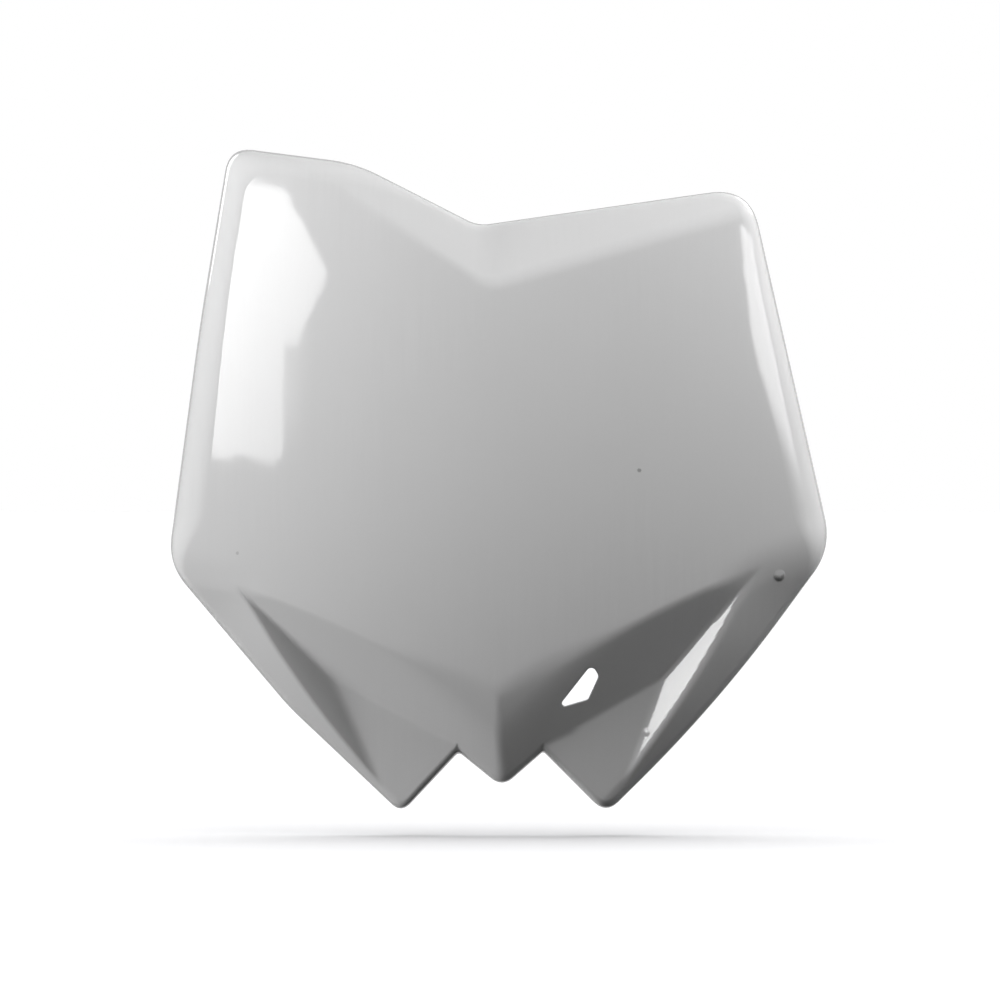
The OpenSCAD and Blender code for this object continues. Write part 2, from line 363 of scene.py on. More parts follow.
# rolled edge, skirt, rim and the inside of the rolled edge
wrap = [as3(front_xz[-2], front(front_xz[-2][:, 0], front_xz[-2][:, 1])),
        as3(front_xz[-1], front(front_xz[-1][:, 0], front_xz[-1][:, 1]))]
for a in np.radians(np.linspace(7, 90, 13)):
    xz = polar(FAR - (FLARE + ROLL * (1 - math.sin(a))) / LEAN)
    wrap.append(as3(xz, front(xz[:, 0], xz[:, 1]) + ROLL * (1 - math.cos(a))))
skirt_top = wrap[-1][:, 1].copy()
F = 0.55
for s in (0.25, 0.5, 0.75):
    wrap.append(as3(polar(FAR - FLARE * (1 - s) / LEAN), skirt_top + s * (RIM - F - skirt_top)))
for a in np.radians([0, 30, 60, 90]):
    wrap.append(as3(polar(FAR - F * (1 - math.cos(a)) / LEAN), RIM - F * (1 - math.sin(a))))
for a in np.radians([90, 120, 150, 180]):
    wrap.append(as3(polar(FAR - (WALL - F * (1 + math.cos(a))) / LEAN), RIM - F * (1 - math.sin(a))))


def inner_row(a):
    xz = polar(FAR - (FLARE + WALL + INNER * (1 - math.sin(a))) / LEAN)
    return as3(xz, np.minimum(back(xz[:, 0], xz[:, 1]) + INNER * (1 - math.cos(a)), RIM - 0.8))


lip, lip_row = wrap[-1], len(wrap) - 1
foot = inner_row(math.pi / 2)
for s in (0.33, 0.67):
    wrap.append(lip + s * (foot - lip))
for a in np.radians(np.linspace(90, 8, 9)):
    wrap.append(inner_row(a))
back_xz = rows_on(back, back_end, back_shares)
wrap.append(as3(back_xz[-1], back(back_xz[-1][:, 0], back_xz[-1][:, 1])))
wrap.append(as3(back_xz[-2], back(back_xz[-2][:, 0], back_xz[-2][:, 1])))
wrap_no = ring_normals(wrap)
if (wrap_no[1] * shell.no[-1]).sum() < 0:
    wrap_no = -wrap_no
last = front_ids[-1]
for k in range(2, len(wrap) - 2):
    ids = shell.add(wrap[k], wrap_no[k], k >= lip_row)
    shell.quads(last, ids)
    last = ids

# inner face rows
back_ids = [None] * len(back_xz)
for k in range(len(back_xz) - 1, -1, -1):
    co, no = field_points(back, back_xz[k], 1)
    back_ids[k] = shell.add(co, no, 1)
shell.quads(last, back_ids[-1])

# hose window: outline with rounded corners, in front view
WIN = [(36.6, 58.2), (39.4, 53.4), (35.2, 44), (22.8, 40.4)]


def rounded(corners, radii, inset=0.0, seg=6):
    """Convex polygon with rounded corners, moved in by inset (out if negative), the same count of points at any inset."""
    c = [np.array(p, float) for p in corners]
    n = len(c)
    turn = sum(c[i][0] * c[(i + 1) % n][1] - c[(i + 1) % n][0] * c[i][1] for i in range(n))
    s = 1 if turn > 0 else -1
    out = []
    for i in range(n):
        p, q, w = c[i - 1], c[i], c[(i + 1) % n]
        e1, e2 = unit(q - p), unit(w - q)
        n1, n2 = s * np.array([-e1[1], e1[0]]), s * np.array([-e2[1], e2[0]])
        r = max(radii[i] - inset, 0.02)
        # centre of the corner's arc: r + inset inside both sides
        m = np.array([n1, n2])
        centre = np.linalg.solve(m, np.array([n1 @ q, n2 @ q]) + r + inset)
        a1, a2 = math.atan2(-n1[1], -n1[0]), math.atan2(-n2[1], -n2[0])
        while s * (a2 - a1) < 0:
            a2 += s * 2 * math.pi
        for k in range(seg + 1):
            a = a1 + (a2 - a1) * k / seg
            out.append(centre + r * np.array([math.cos(a), math.sin(a)]))
    return np.array(out)


def densify(loop, step):
    out = []
    for p, q in zip(loop, np.roll(loop, -1, 0)):
        m = max(1, int(round(np.linalg.norm(q - p) / step)))
        for k in range(m):
            out.append(p + (q - p) * k / m)
    return np.array(out)


base_loop = densify(rounded(WIN, [2.0, 2.2, 2.0, 1.2]), 0.45)
win_centre = base_loop.mean(0)


def out_by(d):
    """The window's outline moved out by d, point for point."""
    tang = unit(np.roll(base_loop, -1, 0) - np.roll(base_loop, 1, 0))
    nrm = np.column_stack([tang[:, 1], -tang[:, 0]])
    if ((base_loop - win_centre) * nrm).sum() < 0:
        nrm = -nrm
    return base_loop + d * nrm


RF, RB = 0.7, 0.5
win_front, win_back = out_by(RF), out_by(RB)
tube = [as3(win_front, face(win_front[:, 0], win_front[:, 1]))]
for a in np.radians([22, 45, 68, 90]):
    xz = out_by(RF * (1 - math.sin(a)))
    tube.append(as3(xz, face(xz[:, 0], xz[:, 1]) + RF * (1 - math.cos(a))))
for a in np.radians([90, 60, 30]):
    xz = out_by(RB * (1 - math.sin(a)))
    tube.append(as3(xz, back(xz[:, 0], xz[:, 1]) - RB * (1 - math.cos(a))))
tube.append(as3(win_back, back(win_back[:, 0], win_back[:, 1])))
tube_no = ring_normals(tube)
mid_row = len(tube) // 2
if (tube_no[mid_row][:, [0, 2]] * (np.array(tube[mid_row])[:, [0, 2]] - win_centre)).sum() > 0:
    tube_no = -tube_no
tube_no[0] = field_points(face, win_front, -1)[1]
tube_no[-1] = field_points(back, win_back, 1)[1]
tube_ids = [shell.add(p, n, k > 5) for k, (p, n) in enumerate(zip(tube, tube_no))]
for a, b in zip(tube_ids, tube_ids[1:]):
    shell.quads(a, b)


def block_around(rows, pts, margin):
    """Ray and row range of the cells that hold these points."""
    rel = pts - np.array(C0)
    a = np.arctan2(rel[:, 1], rel[:, 0])
    k_ang = [int(np.argmin(np.abs(np.angle(np.exp(1j * (ang - v)))))) for v in a]
    base = k_ang[0]
    off = [((k - base + N // 2) % N) - N // 2 for k in k_ang]
    i0, i1 = base + min(off) - margin, base + max(off) + margin
    k0, k1 = len(rows), 0
    for p, i in zip(rel, k_ang):
        r = np.array([math.hypot(*(row[i] - np.array(C0))) for row in rows])
        k = int(np.searchsorted(r, math.hypot(*p)))
        k0, k1 = min(k0, k), max(k1, k)
    return i0, i1, max(0, k0 - margin), min(len(rows) - 1, k1 + margin)


def grid_faces(ids, rows, f, sign, blocks):
    """Quads over a face, apart from the blocks, which are triangulated through their own points."""
    skip = np.zeros((len(rows) - 1, N), bool)
    for (i0, i1, k0, k1), hole, extra, clear in blocks:
        for k in range(k0, k1):
            for i in range(i0, i1):
                skip[k, i % N] = True
    for k in range(len(rows) - 1):
        a, b = ids[k], ids[k + 1]
        for i in np.nonzero(~skip[k])[0]:
            j = (i + 1) % N
            shell.faces.append((a[i], a[j], b[j], b[i]) if sign < 0 else (a[i], b[i], b[j], a[j]))
    for (i0, i1, k0, k1), hole, extra, clear in blocks:
        walk = ([(k0, i) for i in range(i0, i1)] + [(k, i1) for k in range(k0, k1)]
                + [(k1, i) for i in range(i1, i0, -1)] + [(k, i0) for k in range(k1, k0, -1)])
        border = (np.array([ids[k][i % N] for k, i in walk]), np.array([rows[k][i % N] for k, i in walk]))
        own = np.array([rows[k][i % N] for k in range(k0 + 1, k1) for i in range(i0 + 1, i1)])
        if clear is not None and len(own):
            own = own[clear(own)]
        if extra is not None:
            far_enough = loop_distance(border[1], extra) > 0.25
            own = np.vstack([own, extra[far_enough & in_loop(border[1], extra)]])
        fill(shell, f, sign, border, own, hole)


def clear_of(loop, gap):
    return lambda p: ~in_loop(loop, p) & (loop_distance(loop, p) > gap)


def dotted(spot, r, step):
    """Close points over a small round place, and the ring round it."""
    pts = spread(spot[0] - r, spot[0] + r, spot[1] - r, spot[1] + r, step)
    ring = np.array([[spot[0] + r * math.cos(a), spot[1] + r * math.sin(a)] for a in np.radians(range(0, 360, 6))])
    return pts[np.hypot(pts[:, 0] - spot[0], pts[:, 1] - spot[1]) < r - 0.05], ring


pip_xz, pip_ring = dotted(PIP, 3.0, 0.2)
nub_xz, nub_ring = dotted(NUB, 2.2, 0.22)

front_blocks = [
    (block_around(front_xz, win_front, 3), (tube_ids[0], win_front), None, clear_of(win_front, 0.4)),
    (block_around(front_xz, pip_ring, 2), None, pip_xz, clear_of(pip_ring, 0.1)),
    (block_around(front_xz, nub_ring, 2), None, nub_xz, clear_of(nub_ring, 0.1)),
]
back_blocks = [(block_around(back_xz, win_back, 2), (tube_ids[-1], win_back), None, clear_of(win_back, 0.4))]
grid_faces(front_ids, front_xz, front, -1, front_blocks)
grid_faces(back_ids, back_xz, back, 1, back_blocks)


def middle(row_ids, row_xz, f, sign):
    """The middle of a face, through rings that open out and then even points."""
    rel = row_xz - np.array(C0)
    pts = [C0 + rel[::2] * 0.975, C0 + rel[1::4] * 0.935, C0 + rel[::8] * 0.87]
    edge = C0 + rel[::8] * 0.81
    grid = spread(-80, 80, C0[1] - 80, C0[1] + 80, 3.6)
    pts.append(grid[in_loop(edge, grid)])
    fill(shell, f, sign, (row_ids, row_xz), np.vstack(pts))


middle(front_ids[0], front_xz[0], front, -1)
middle(back_ids[0], back_xz[0], back, 1)


def make_mesh(name, co, faces):
    me = bpy.data.meshes.new(name)
    me.from_pydata([tuple(map(float, p)) for p in co], [], [tuple(int(i) for i in f) for f in faces])
    me.update()
    ob = bpy.data.objects.new(name, me)
    bpy.context.scene.collection.objects.link(ob)
    return ob


shell_co, shell_no, shell_rear = np.vstack(shell.co), np.vstack(shell.no), np.concatenate(shell.rear)
plate = make_mesh("number_plate_shell", to_row(shell_co), shell.faces)


def consistent(ob):
    """Faces turned to agree with each other and to look outward."""
    bm = bmesh.new()
    bm.from_mesh(ob.data)
    open_edges = sum(1 for e in bm.edges if len(e.link_faces) != 2)
    bmesh.ops.recalc_face_normals(bm, faces=bm.faces)
    if bm.calc_volume(signed=True) < 0:
        bmesh.ops.reverse_faces(bm, faces=bm.faces)
    bm.to_mesh(ob.data)
    bm.free()
    return open_edges


print("shell open edges", consistent(plate), "faces", len(plate.data.polygons), "verts", len(plate.data.vertices))

# ---------------------------------------------------------------- rear fixings


def prism(name, corners, radii, low, high, edge, place, seg=6, skip_low=False):
    """Extrusion of a rounded convex outline with rounded edges. place turns (u, v, w) into design (x, depth, z)."""
    levels = []
    for a in np.radians([0, 30, 60, 90]):
        levels.append((edge * (1 - math.sin(a)), low + edge * (1 - math.cos(a))))
    for a in np.radians([90, 60, 30, 0]):
        levels.append((edge * (1 - math.sin(a)), high - edge * (1 - math.cos(a))))
    rows = [rounded(corners, radii, d, seg) for d, _ in levels]
    co, faces = [], []
    n = len(rows[0])
    for row, (_, h) in zip(rows, levels):
        co += [place(u, v, h) for u, v in row]
    for k in range(len(rows) - 1):
        for i in range(n):
            j = (i + 1) % n
            faces.append((k * n + i, k * n + j, (k + 1) * n + j, (k + 1) * n + i))
    faces.append(tuple(range(n))[::-1])
    faces.append(tuple((len(rows) - 1) * n + i for i in range(n)))
    ob = make_mesh(name, to_row(co), faces)
    consistent(ob)
    return ob


def bead(name, x0, x1, z0, z1, r, corner=0.5):
    """Hollow fillet round a foot on the inner face."""
    path = densify(rounded([(x0, z0), (x1, z0), (x1, z1), (x0, z1)], [corner] * 4, 0, 5), 0.7)
    c = path.mean(0)
    tang = unit(np.roll(path, -1, 0) - np.roll(path, 1, 0))
    nrm = np.column_stack([tang[:, 1], -tang[:, 0]])
    if ((path - c) * nrm).sum() < 0:
        nrm = -nrm
    section = [(-0.3, -1.0), (r * (1 - math.sin(math.radians(10))), -1.0)]
    section += [(r * (1 - math.sin(a)), r * (1 - math.cos(a))) for a in np.radians([10, 26, 42, 58, 74, 90])]
    section += [(-0.3, r)]
    co, faces = [], []
    for o, h in section:
        p = path + o * nrm
        co.append(as3(p, back(p[:, 0], p[:, 1]) + h))
    co = np.vstack(co)
    n, m = len(path), len(section)
    for k in range(m):
        for i in range(n):
            j = (i + 1) % n
            faces.append((k * n + i, k * n + j, ((k + 1) % m) * n + j, ((k + 1) % m) * n + i))
    ob = make_mesh(name, to_row(co), faces)
    consistent(ob)
    return ob


def drill(name, start, axis, depth_half, r, chamfer, n=96):
    """Cutter for a bore with a small chamfer at both faces; depth_half is half the wall."""
    axis = Vector(axis).normalized()
    u = axis.orthogonal().normalized()
    v = axis.cross(u)
    prof = [(-depth_half - 3, r + chamfer), (-depth_half, r + chamfer), (-depth_half + chamfer, r),
            (depth_half - chamfer, r), (depth_half, r + chamfer), (depth_half + 3, r + chamfer)]
    co, faces = [], []
    for h, rad in prof:
        for i in range(n):
            a = 2 * math.pi * i / n
            p = Vector(start) + axis * h + u * (rad * math.cos(a)) + v * (rad * math.sin(a))
            co.append(tuple(p))
    for k in range(len(prof) - 1):
        for i in range(n):
            j = (i + 1) % n
            faces.append((k * n + i, k * n + j, (k + 1) * n + j, (k + 1) * n + i))
    faces.append(tuple(range(n))[::-1])
    faces.append(tuple((len(prof) - 1) * n + i for i in range(n)))
    ob = make_mesh(name, to_row(co), faces)
    consistent(ob)
    return ob


fixings = []
# lower tab, flat, with a round end
y_tab = float(panel(8, TAB_Z)) + WALL / 2
fixings.append(prism("tab", [(-11, y_tab), (11, y_tab), (11, TAB_Y + 11), (-11, TAB_Y + 11)], [0.3, 0.3, 11, 11],
                     TAB_Z - 2, TAB_Z + 2, 0.6, lambda u, v, w: (u, v, w), seg=20))
y_rib = float(panel(8, TAB_Z + 22)) + WALL / 2
for x in (-9.4, 7.0):
    fixings.append(prism("rib", [(y_tab, TAB_Z + 0.5), (TAB_Y - 9, TAB_Z + 0.5), (TAB_Y - 9, TAB_Z + 3), (y_rib + 2, TAB_Z + 22), (y_rib, TAB_Z + 22)],
                         [0.3, 0.3, 0.8, 0.8, 0.3], x, x + 2.4, 0.5, lambda u, v, w: (w, u, v)))
    fixings.append(bead("rib_bead", x, x + 2.4, TAB_Z + 1.5, TAB_Z + 22, 0.9))
fixings.append(bead("tab_bead", -11, 11, TAB_Z - 2, TAB_Z + 2, 1.0))
# upper ears, each braced sideways
for s in (-1, 1):
    y_ear = float(panel(EAR_X, EAR_Z)) + WALL / 2
    xc = s * EAR_X
    fixings.append(prism("ear", [(y_ear, EAR_Z - 9), (EAR_Y + 9, EAR_Z - 9), (EAR_Y + 9, EAR_Z + 9), (y_ear, EAR_Z + 9)], [0.3, 9, 9, 0.3],
                         xc - 2, xc + 2, 0.6, lambda u, v, w: (w, u, v), seg=18))
    pts = [(0, y_ear), (s * 12, y_ear + 0.6), (s * 12, y_ear + 1.6), (s * 3, 15), (0, 15)]
    fixings.append(prism("brace", [(xc + a, b) for a, b in pts], [0.2, 0.2, 0.6, 0.8, 0.2],
                         EAR_Z - 1.2, EAR_Z + 1.2, 0.5, lambda u, v, w: (u, v, w)))
    fixings.append(bead("ear_bead", xc - 2, xc + 2, EAR_Z - 9, EAR_Z + 9, 1.0))
    fixings.append(bead("brace_bead", min(xc, xc + s * 11.6), max(xc, xc + s * 11.6), EAR_Z - 1.2, EAR_Z + 1.2, 0.8))

cutters = [drill("bolt_bore", (0, TAB_Y, TAB_Z), (0, 0, 1), 2, 3.25, 0.4)]
for s in (-1, 1):
    cutters.append(drill("pin_bore", (s * EAR_X, EAR_Y, EAR_Z), (1, 0, 0), 2, 3.1, 0.4))


def combine(base, others, operation):
    for ob in others:
        mod = base.modifiers.new("c", "BOOLEAN")
        mod.operation, mod.solver, mod.object = operation, "MANIFOLD", ob
    dg = bpy.context.evaluated_depsgraph_get()
    me = bpy.data.meshes.new_from_object(base.evaluated_get(dg))
    base.modifiers.clear()
    old = base.data
    base.data = me
    bpy.data.meshes.remove(old)
    for ob in others:
        data = ob.data
        bpy.data.objects.remove(ob)
        bpy.data.meshes.remove(data)


combine(fixings[0], fixings[1:], "UNION")
combine(fixings[0], cutters, "DIFFERENCE")
combine(plate, [fixings[0]], "UNION")
plate.name = plate.data.name = "number_plate_shell"
print("joined: faces", len(plate.data.polygons), "verts", len(plate.data.vertices))

# ---------------------------------------------------------------- normals


def finish_normals(ob):
    """Smooth shading: the shell's own points keep the depth field's normals, and edges over 38 degrees elsewhere stay sharp."""
    me = ob.data
    bm = bmesh.new()
    bm.from_mesh(me)
    bmesh.ops.remove_doubles(bm, verts=bm.verts, dist=2e-6)
    bmesh.ops.dissolve_degenerate(bm, dist=1e-6, edges=bm.edges)
    odd = sum(1 for e in bm.edges if len(e.link_faces) != 2)
    for e in bm.edges:
        e.smooth = len(e.link_faces) == 2 and e.calc_face_angle(0) < math.radians(38)
    for f in bm.faces:
        f.smooth = True
    bm.to_mesh(me)
    bm.free()
    tree = KDTree(len(shell_co))
    row = to_row(shell_co)
    for i, p in enumerate(row):
        tree.insert(p, i)
    tree.balance()
    co = np.empty(len(me.vertices) * 3, np.float32)
    me.vertices.foreach_get("co", co)
    co = co.reshape(-1, 3)
    own = np.full(len(co), -1)
    for i, p in enumerate(co):
        _, k, d = tree.find(p)
        if d < 3e-6:
            own[i] = k
    loops_v = np.empty(len(me.loops), np.int32)
    me.loops.foreach_get("vertex_index", loops_v)
    face_no = np.empty(len(me.polygons) * 3, np.float32)
    me.polygons.foreach_get("normal", face_no)
    face_no = face_no.reshape(-1, 3)
    starts = np.empty(len(me.polygons), np.int32)
    totals = np.empty(len(me.polygons), np.int32)
    me.polygons.foreach_get("loop_start", starts)
    me.polygons.foreach_get("loop_total", totals)
    loop_face = np.repeat(np.arange(len(starts)), totals)
    k = own[loops_v]
    no = np.where((k >= 0)[:, None], shell_no[np.maximum(k, 0)], 0.0)
    agree = (no * face_no[loop_face]).sum(1)
    no[agree < 0.6] = 0
    print("odd edges", odd, "own normals", float((k >= 0).mean()), "dropped", int(((k >= 0) & (agree < 0.6)).sum()))
    me.normals_split_custom_set(no.tolist())
    layer = me.attributes.new("rear", "FLOAT", "POINT")
    layer.data.foreach_set("value", np.where(own >= 0, shell_rear[np.maximum(own, 0)], 1.0).astype(np.float32))
    tris = int((totals - 2).sum())
    print("triangles", tris)


finish_normals(plate)

# ---------------------------------------------------------------- material

ROW0 = Vector((0, -TAB_Y / 1000, -TAB_Z / 1000))


def spot_at(px, py):
    """Row-frame place on the outer face under a point of the 1000 x 1000 view."""
    x, z = (px - 500) * 0.4, (809 - py) * 0.4
    return Vector((x / 1000, float(face(x, z)) / 1000, z / 1000)) + ROW0


mat = bpy.data.materials.new("white_gloss_plastic")
mat.use_nodes = True
nt = mat.node_tree
nt.nodes.clear()


def node(kind, **values):
    n = nt.nodes.new(kind)
    for k, v in values.items():
        setattr(n, k, v)
    return n


def put(sock, value):
    if isinstance(value, bpy.types.NodeSocket):
        nt.links.new(value, sock)
    else:
        sock.default_value = value


def math_(op, a, b=None, c=None, clamp=False):
    n = node("ShaderNodeMath", operation=op, use_clamp=clamp)
    put(n.inputs[0], a)
    if b is not None:
        put(n.inputs[1], b)
    if c is not None:
        put(n.inputs[2], c)
    return n.outputs[0]


def ranged(value, a, b, c, d, kind="LINEAR"):
    n = node("ShaderNodeMapRange", interpolation_type=kind)
    for i, v in enumerate((value, a, b, c, d)):
        put(n.inputs[i], v)
    return n.outputs[0]


def noise(vector, scale, detail=2.0, rough=0.5, distort=0.0):
    n = node("ShaderNodeTexNoise")
    put(n.inputs["Vector"], vector)
    put(n.inputs["Scale"], scale)
    put(n.inputs["Detail"], detail)
    put(n.inputs["Roughness"], rough)
    put(n.inputs["Distortion"], distort)
    return n.outputs["Fac"]


coord = node("ShaderNodeTexCoord").outputs["Object"]


def stretched(scale, turn=(0, 0, 0)):
    n = node("ShaderNodeMapping")
    put(n.inputs["Vector"], coord)
    n.inputs["Scale"].default_value = scale
    n.inputs["Rotation"].default_value = turn
    return n.outputs["Vector"]


rear = node("ShaderNodeAttribute", attribute_name="rear").outputs["Fac"]

# flow marks: long faint streaks up and down, stronger in patches
flow = noise(stretched((420, 60, 26)), 1.0, 3.0, 0.55, 0.3)
patch = noise(coord, 17.0, 2.0, 0.5)
flow_amount = ranged(patch, 0.45, 0.75, 0.15, 1.0, "SMOOTHSTEP")
flow_shade = math_("MULTIPLY", math_("SUBTRACT", flow, 0.5), flow_amount)
# clouding at the size of a hand, and fine grain under the gloss
cloud = math_("SUBTRACT", noise(coord, 26.0, 3.0, 0.55), 0.5)
grain = math_("SUBTRACT", noise(coord, 1400.0, 2.0, 0.6), 0.5)

# dust: few and tiny dark grains, in cells of about 9 mm
vor = node("ShaderNodeTexVoronoi", feature="F1", voronoi_dimensions="3D")
put(vor.inputs["Vector"], coord)
put(vor.inputs["Scale"], 110.0)
pick = node("ShaderNodeSeparateColor")
put(pick.inputs["Color"], vor.outputs["Color"])
few = math_("GREATER_THAN", pick.outputs["Red"], 0.88)
grain_size = ranged(pick.outputs["Green"], 0.0, 1.0, 0.012, 0.034)
dust = math_("MULTIPLY", few, math_("SUBTRACT", 1.0, ranged(vor.outputs["Distance"], 0.0, grain_size, 0.0, 1.0, "SMOOTHSTEP")))


def round_spot(px, py, radius):
    d = node("ShaderNodeVectorMath", operation="DISTANCE")
    put(d.inputs[0], coord)
    d.inputs[1].default_value = spot_at(px, py)
    wob = math_("ADD", d.outputs["Value"], math_("MULTIPLY", math_("SUBTRACT", noise(coord, 2600.0), 0.5), radius * 0.9))
    return math_("SUBTRACT", 1.0, ranged(wob, radius * 0.55, radius * 1.25, 0.0, 1.0, "SMOOTHSTEP"))


# small dark specks on the outer face; the painted shade under the pip joins them below
specks_and_painted_shade = math_("MAXIMUM", math_("MULTIPLY", round_spot(638.5, 470.5, 0.00085), 0.75), math_("MULTIPLY", round_spot(238, 553, 0.0007), 0.3))
# painted shade: a dark crescent under the pip, where its proud lower side is in shadow
painted_pip_shade = math_("MULTIPLY", round_spot(779, 576.6, 0.0022), math_("SUBTRACT", 1.0, round_spot(779, 571.6, 0.0023)))
specks_and_painted_shade = math_("MAXIMUM", specks_and_painted_shade, painted_pip_shade)
specks_and_painted_shade = math_("MULTIPLY", specks_and_painted_shade, math_("SUBTRACT", 1.0, rear))

shade = math_("ADD", 0.70, math_("MULTIPLY", cloud, 0.022))
shade = math_("ADD", shade, math_("MULTIPLY", flow_shade, 0.05))
shade = math_("ADD", shade, math_("MULTIPLY", grain, 0.012))
shade = math_("MULTIPLY", shade, math_("SUBTRACT", 1.0, math_("MULTIPLY", dust, 0.35)))
# the specks and the painted shade under the pip darken the colour
shade = math_("MULTIPLY", shade, math_("SUBTRACT", 1.0, math_("MULTIPLY", specks_and_painted_shade, 0.7)))
shade = math_("MULTIPLY", shade, math_("SUBTRACT", 1.0, math_("MULTIPLY", rear, 0.03)))
colour = node("ShaderNodeCombineColor")
put(colour.inputs["Red"], shade)
put(colour.inputs["Green"], shade)
put(colour.inputs["Blue"], math_("MULTIPLY", shade, 1.002))

# gloss: smooth outside with faint handling marks, satin inside
hair = noise(stretched((90, 90, 900), (0.5, 0.9, 0.3)), 1.0, 2.0, 0.6)
hair_b = noise(stretched((1000, 90, 80), (0.2, -0.5, 0.6)), 1.0, 2.0, 0.6)
scratch = math_("MAXIMUM", ranged(hair, 0.66, 0.74, 0.0, 1.0), ranged(hair_b, 0.67, 0.75, 0.0, 1.0))
gloss = math_("ADD", 0.042, math_("MULTIPLY", cloud, 0.014))
gloss = math_("ADD", gloss, math_("MULTIPLY", flow_shade, 0.02))
gloss = math_("ADD", gloss, math_("MULTIPLY", scratch, 0.035))
gloss = math_("ADD", gloss, math_("MULTIPLY", specks_and_painted_shade, 0.35))
gloss = math_("ADD", gloss, math_("MULTIPLY", rear, 0.34))

# surface: a slow moulding ripple, and on the inside a fine satin texture
ripple = noise(coord, 120.0, 2.0, 0.4)
satin = noise(coord, 2400.0, 3.0, 0.6)
height = math_("ADD", math_("MULTIPLY", ripple, 0.000012), math_("MULTIPLY", flow, 0.0000016))
height = math_("ADD", height, math_("MULTIPLY", math_("MULTIPLY", satin, rear), 0.00003))
bump = node("ShaderNodeBump")
bump.inputs["Strength"].default_value = 1.0
bump.inputs["Distance"].default_value = 1.0
put(bump.inputs["Height"], height)

bsdf = node("ShaderNodeBsdfPrincipled")
put(bsdf.inputs["Base Color"], colour.outputs["Color"])
put(bsdf.inputs["Roughness"], gloss)
put(bsdf.inputs["Normal"], bump.outputs["Normal"])
bsdf.inputs["IOR"].default_value = 1.5
outn = node("ShaderNodeOutputMaterial")
nt.links.new(bsdf.outputs["BSDF"], outn.inputs["Surface"])

plate.data.materials.clear()
plate.data.materials.append(mat)
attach(plate, "root")
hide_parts("number_plate")

# ---------------------------------------------------------------- camera

scene = bpy.context.scene
LENS, VIEW_W = 300.0, 0.4
CAM_D = VIEW_W * LENS / 36
MID = Vector((0, -0.006, 0.0536))
cam_data = bpy.data.cameras.new("camera")
cam_data.lens, cam_data.sensor_width = LENS, 36
cam_data.clip_start, cam_data.clip_end = 0.05, 200
cam = bpy.data.objects.new("camera", cam_data)
cam.location = MID + Vector((0, -CAM_D, 0))
cam.rotation_euler = (math.pi / 2, 0, 0)
scene.collection.objects.link(cam)
scene.camera = cam
scene.view_settings.view_transform = "Standard"
scene.view_settings.look = "None"

# ---------------------------------------------------------------- light

# the pale room behind the board, as broad lobes: azimuth (0 from the viewer, 90
# from the right), elevation, tightness, strength
LOBES = [(180, 20, 2.0, 0.48), (0, 88, 6.0, 0.1)]

# soft lamps: azimuth, elevation, distance, size, watts
LAMPS = [
    (-75, 5, 1.2, 0.4, 2.55),
    (-75, -10, 0.8, 0.4, 2.22),
    (-60, -35, 0.8, 0.4, 0.67),
    (-60, 35, 0.3, 0.2, 0.10),
    (-60, 60, 0.3, 0.2, 0.05),
    (-45, 15, 0.3, 0.2, 0.095),
    (-20, 25, 0.45, 0.3, 0.26),
    (20, 65, 0.5, 0.3, 0.30),
    (45, 50, 0.45, 0.3, 0.48),
    (60, 30, 1.2, 0.4, 0.79),
    (80, 25, 0.45, 0.3, 1.04),
    (140, 35, 1.1, 0.6, 6.0),
    (-140, 25, 1.1, 0.6, 3.0),
]


def toward(az, el):
    a, e = math.radians(az), math.radians(el)
    return Vector((math.sin(a) * math.cos(e), -math.cos(a) * math.cos(e), math.sin(e)))


world = bpy.data.worlds.new("studio")
scene.world = world
world.use_nodes = True


def build_world(lobes, backdrop=1.0):
    global nt
    keep, nt = nt, world.node_tree
    nt.nodes.clear()
    direction = node("ShaderNodeTexCoord").outputs["Generated"]
    total = None
    for az, el, tight, power in lobes:
        dot = node("ShaderNodeVectorMath", operation="DOT_PRODUCT")
        put(dot.inputs[0], direction)
        dot.inputs[1].default_value = toward(az, el)
        rise = math_("MULTIPLY_ADD", dot.outputs["Value"], tight, -tight)
        lobe = math_("MULTIPLY", math_("EXPONENT", rise), power)
        total = lobe if total is None else math_("ADD", total, lobe)
    lit = node("ShaderNodeBackground")
    put(lit.inputs["Color"], total if total is not None else (0, 0, 0, 1))
    white = node("ShaderNodeBackground")
    white.inputs["Color"].default_value = (backdrop, backdrop, backdrop, 1)
    mix = node("ShaderNodeMixShader")
    put(mix.inputs["Fac"], node("ShaderNodeLightPath").outputs["Is Camera Ray"])
    nt.links.new(lit.outputs[0], mix.inputs[1])
    nt.links.new(white.outputs[0], mix.inputs[2])
    nt.links.new(mix.outputs[0], node("ShaderNodeOutputWorld").inputs["Surface"])
    nt = keep


build_world(LOBES)

LIGHT_MID = Vector((0, 0, 0.06))
lamps = []
for az, el, far_off, wide, watts in LAMPS:
    light = bpy.data.lights.new("soft_lamp", "AREA")
    light.shape, light.size, light.energy = "DISK", wide, watts
    ob = bpy.data.objects.new("soft_lamp", light)
    ob.location = LIGHT_MID + toward(az, el) * far_off
    ob.rotation_euler = toward(az, el).to_track_quat("Z", "Y").to_euler()
    # the lamps in front only light the board; what it mirrors are the cards below
    ob.visible_glossy = abs(az) > 120
    scene.collection.objects.link(ob)
    lamps.append(ob)


